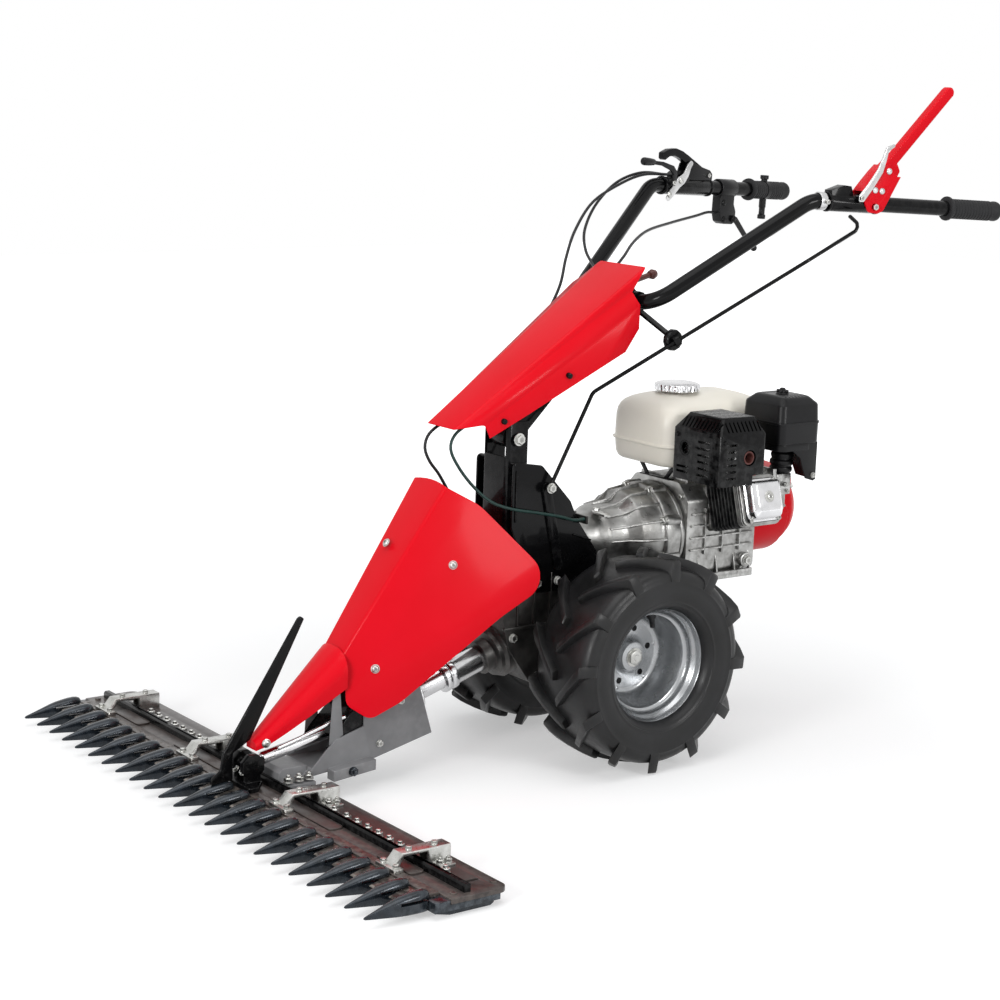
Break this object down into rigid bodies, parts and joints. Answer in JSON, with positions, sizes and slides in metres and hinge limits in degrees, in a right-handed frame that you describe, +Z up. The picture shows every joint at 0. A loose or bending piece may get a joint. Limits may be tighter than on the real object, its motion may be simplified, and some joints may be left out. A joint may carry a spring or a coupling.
{
  "type": "walking finger-bar mower",
  "caption": "Two-wheel walking tractor with a front finger-bar mower, a reciprocating knife, a small petrol engine and steering handlebars with control levers.",
  "frame": {"origin": "centre of the machine's outline on the ground", "axes": "+Z up, -Y forward in the direction of mowing, +X to the machine's left; the knife strokes along X"},
  "size_m": [1.17, 1.526, 1.1834],
  "materials": {
    "red": "glossy red enamel",
    "black": "satin black paint",
    "rubber": "matt black rubber",
    "bar_brown": "dark bronze-brown varnish",
    "guard_blue": "hardened blue-black steel",
    "zinc": "zinc plated",
    "grey": "satin grey paint",
    "aluminium": "sand-cast, as cast",
    "bright": "bright plated",
    "silver": "satin silver paint",
    "cream": "glossy off-white",
    "brown": "brown lacquer",
    "green": "dark green plastic sheath"
  },
  "bodies": {
    "tractor": {"gearbox": "aluminium", "clutch_housing": "aluminium", "column": "black", "support_bracket": "black", "steering_arm": "black", "hood": "red", "handlebar": "black", "handlebar_clamp": "black", "grip_left": "rubber", "grip_right": "rubber", "lever_carrier": "black", "brake_housing": "black", "lever_box": "black", "control_rod": "black", "rod_guide": "black", "brake_cable": "rubber", "throttle_cable": "rubber", "box_cable": "rubber", "clutch_cable": "green", "engine_block": "aluminium", "valve_cover": "bright", "blower_housing": "red", "recoil_starter": "red", "fuel_tank": "cream", "muffler_guard": "black", "carburettor": "aluminium", "cleaner_base": "black", "air_cleaner": "black"},
    "mower": {"cutter_beam": "bar_brown", "finger_bar": "guard_blue", "knife_clip_1": "zinc", "knife_clip_2": "zinc", "knife_clip_3": "zinc", "knife_clip_4": "zinc", "crop_stick": "black", "drive_frame": "grey", "nose_cover": "red", "front_shield": "red", "shield_stay": "black", "coupling_tube": "bright"},
    "cutting_knife": {"knife": "bar_brown", "knife_head": "black"},
    "rocker": {"drive_arm": "bright"},
    "left_wheel": {"tyre_left": "rubber", "rim_left": "silver", "wheel_disc_left": "silver"},
    "right_wheel": {"tyre_right": "rubber", "rim_right": "silver", "wheel_disc_right": "silver"},
    "strip_lever": {"strip_lever": "black"},
    "lock_lever": {"lock_lever": "brown"},
    "clutch_lever": {"clutch_lever": "red"},
    "latch_lever": {"latch_lever": "silver"},
    "brake_lever": {"brake_lever": "black"},
    "silver_lever": {"silver_lever": "silver"},
    "throttle_lever": {"throttle_lever": "black"},
    "side_lever": {"side_lever": "black"},
    "starter_grip": {"starter_grip": "rubber"},
    "fuel_cap": {"fuel_cap": "zinc"},
    "fork_lever": {"fork_lever": "zinc"}
  },
  "joints": [
    {"name": "wheel_left_spin", "type": "hinge", "parent": "tractor", "child": "left_wheel", "pos_m": [0.162, 0.058, 0.19], "axis": [1, 0, 0], "continuous": true},
    {"name": "wheel_right_spin", "type": "hinge", "parent": "tractor", "child": "right_wheel", "pos_m": [-0.162, 0.058, 0.19], "axis": [1, 0, 0], "continuous": true},
    {"name": "mower_roll", "type": "hinge", "parent": "tractor", "child": "mower", "pos_m": [0, -0.16903, 0.18265], "axis": [0, 0.9532, 0.3024], "range_deg": [-4, 4]},
    {"name": "knife_stroke", "type": "slide", "parent": "mower", "child": "cutting_knife", "axis": [1, 0, 0], "range_m": [-0.0254, 0.0254]},
    {"name": "rocker_swing", "type": "hinge", "parent": "mower", "child": "rocker", "pos_m": [0, -0.447, 0.10128], "axis": [0, 0, 1], "range_deg": [-8.4, 8.4]},
    {"name": "strip_lever_swing", "type": "hinge", "parent": "tractor", "child": "strip_lever", "pos_m": [0.0553, -0.075, 0.487], "axis": [1, 0, 0], "range_deg": [-8, 8]},
    {"name": "lock_lever_turn", "type": "hinge", "parent": "tractor", "child": "lock_lever", "pos_m": [0, 0.12219, 0.81919], "axis": [0, 0.7071, 0.7071], "range_deg": [-30, 30]},
    {"name": "clutch_squeeze", "type": "hinge", "parent": "tractor", "child": "clutch_lever", "pos_m": [0.23382, 0.4768, 0.97341], "axis": [0.9877, -0.1565, 0], "range_deg": [-25, 0], "stiffness_Nm_per_rad": 1, "springref_deg": 34.38},
    {"name": "latch_turn", "type": "hinge", "parent": "tractor", "child": "latch_lever", "pos_m": [0.22883, 0.44528, 0.98891], "axis": [0.9877, -0.1565, 0], "range_deg": [0, 20]},
    {"name": "brake_squeeze", "type": "hinge", "parent": "tractor", "child": "brake_lever", "pos_m": [-0.23924, 0.51099, 0.99883], "axis": [0.9877, 0.1565, 0], "range_deg": [0, 9], "stiffness_Nm_per_rad": 1, "springref_deg": -17.19},
    {"name": "silver_lever_turn", "type": "hinge", "parent": "tractor", "child": "silver_lever", "pos_m": [-0.22476, 0.41963, 0.99011], "axis": [0.9877, 0.1565, 0], "range_deg": [0, 15]},
    {"name": "throttle_turn", "type": "hinge", "parent": "tractor", "child": "throttle_lever", "pos_m": [-0.22036, 0.39182, 0.98742], "axis": [0.9877, 0.1565, 0], "range_deg": [-25, 10]},
    {"name": "side_lever_turn", "type": "hinge", "parent": "tractor", "child": "side_lever", "pos_m": [-0.25178, 0.59016, 0.91402], "axis": [0.9877, 0.1565, 0], "range_deg": [-10, 25]},
    {"name": "starter_pull", "type": "slide", "parent": "tractor", "child": "starter_grip", "axis": [0, 0, 1], "range_m": [0, 0.15], "stiffness_N_per_m": 20, "springref_m": -0.1},
    {"name": "fuel_cap_turn", "type": "hinge", "parent": "tractor", "child": "fuel_cap", "pos_m": [-0.012, 0.27, 0.6233], "axis": [0, 0, 1], "range_deg": [0, 90]},
    {"name": "fork_lever_turn", "type": "hinge", "parent": "tractor", "child": "fork_lever", "pos_m": [0.03, 0.058, 0.4245], "axis": [0, 0, 1], "range_deg": [-12, 0]}
  ],
  "couplings": [
    {"joint": "rocker_swing", "follows": "knife_stroke", "rad_per_m": 5.5556}
  ]
}
